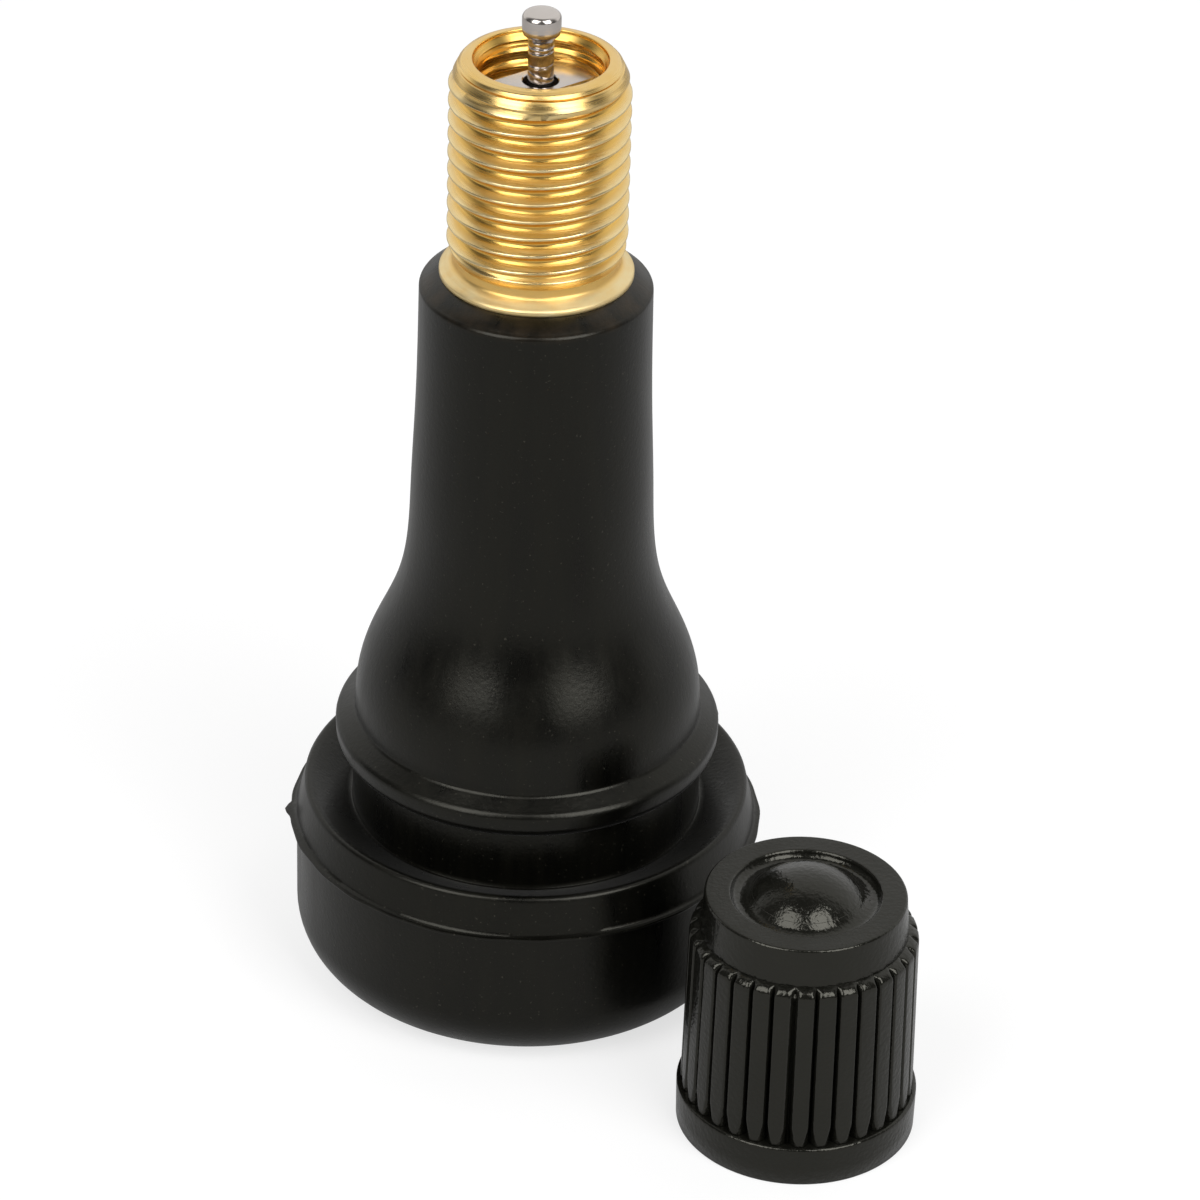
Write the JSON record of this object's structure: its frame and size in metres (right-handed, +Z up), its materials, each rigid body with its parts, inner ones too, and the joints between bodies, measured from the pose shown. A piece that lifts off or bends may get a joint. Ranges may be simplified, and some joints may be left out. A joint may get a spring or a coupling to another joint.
{
  "type": "tubeless tyre valve",
  "caption": "Snap-in tubeless tyre valve with a rubber body, threaded brass stem and sprung valve core, its ribbed dust cap off and standing beside it.",
  "frame": {"origin": "on the valve's axis at the flat of the rubber base, in the mouth of the air way", "axes": "+Z up the stem towards its mouth, +X towards the cap's side, -Y towards the viewer of the picture"},
  "size_m": [0.0279, 0.0283, 0.0464],
  "materials": {
    "body_rubber": "satin black moulded rubber",
    "stem_brass": "bright turned brass",
    "core_nickel": "nickel-plated brass",
    "core_brass": "plain turned brass",
    "gasket_plastic": "red sealing plastic",
    "seal_rubber": "matt black rubber",
    "spring_steel": "drawn spring wire",
    "cap_plastic": "glossy black moulded plastic"
  },
  "bodies": {
    "valve": {"rubber_body": "body_rubber", "brass_stem": "stem_brass", "cap_shell": "cap_plastic", "cap_gasket": "seal_rubber"},
    "barrel": {"core_barrel": "core_brass", "barrel_gasket": "gasket_plastic", "core_spring": "spring_steel"},
    "plug": {"core_plug": "core_nickel"},
    "plunger": {"core_pin": "core_nickel", "plunger_cup": "core_brass", "plunger_seal": "seal_rubber"}
  },
  "joints": [
    {"name": "core_lift", "type": "slide", "parent": "valve", "child": "barrel", "axis": [0, 0, 1], "range_m": [0, 0.00388]},
    {"name": "core_turn", "type": "hinge", "parent": "barrel", "child": "plug", "pos_m": [0, 0, 0.0415], "axis": [0, 0, 1], "range_deg": [0, 1980]},
    {"name": "pin_press", "type": "slide", "parent": "barrel", "child": "plunger", "axis": [0, 0, -1], "range_m": [0, 0.0015], "stiffness_N_per_m": 2000, "deforming": ["core_spring"]}
  ],
  "couplings": [
    {"joint": "core_turn", "follows": "core_lift", "rad_per_m": 8905.3}
  ]
}
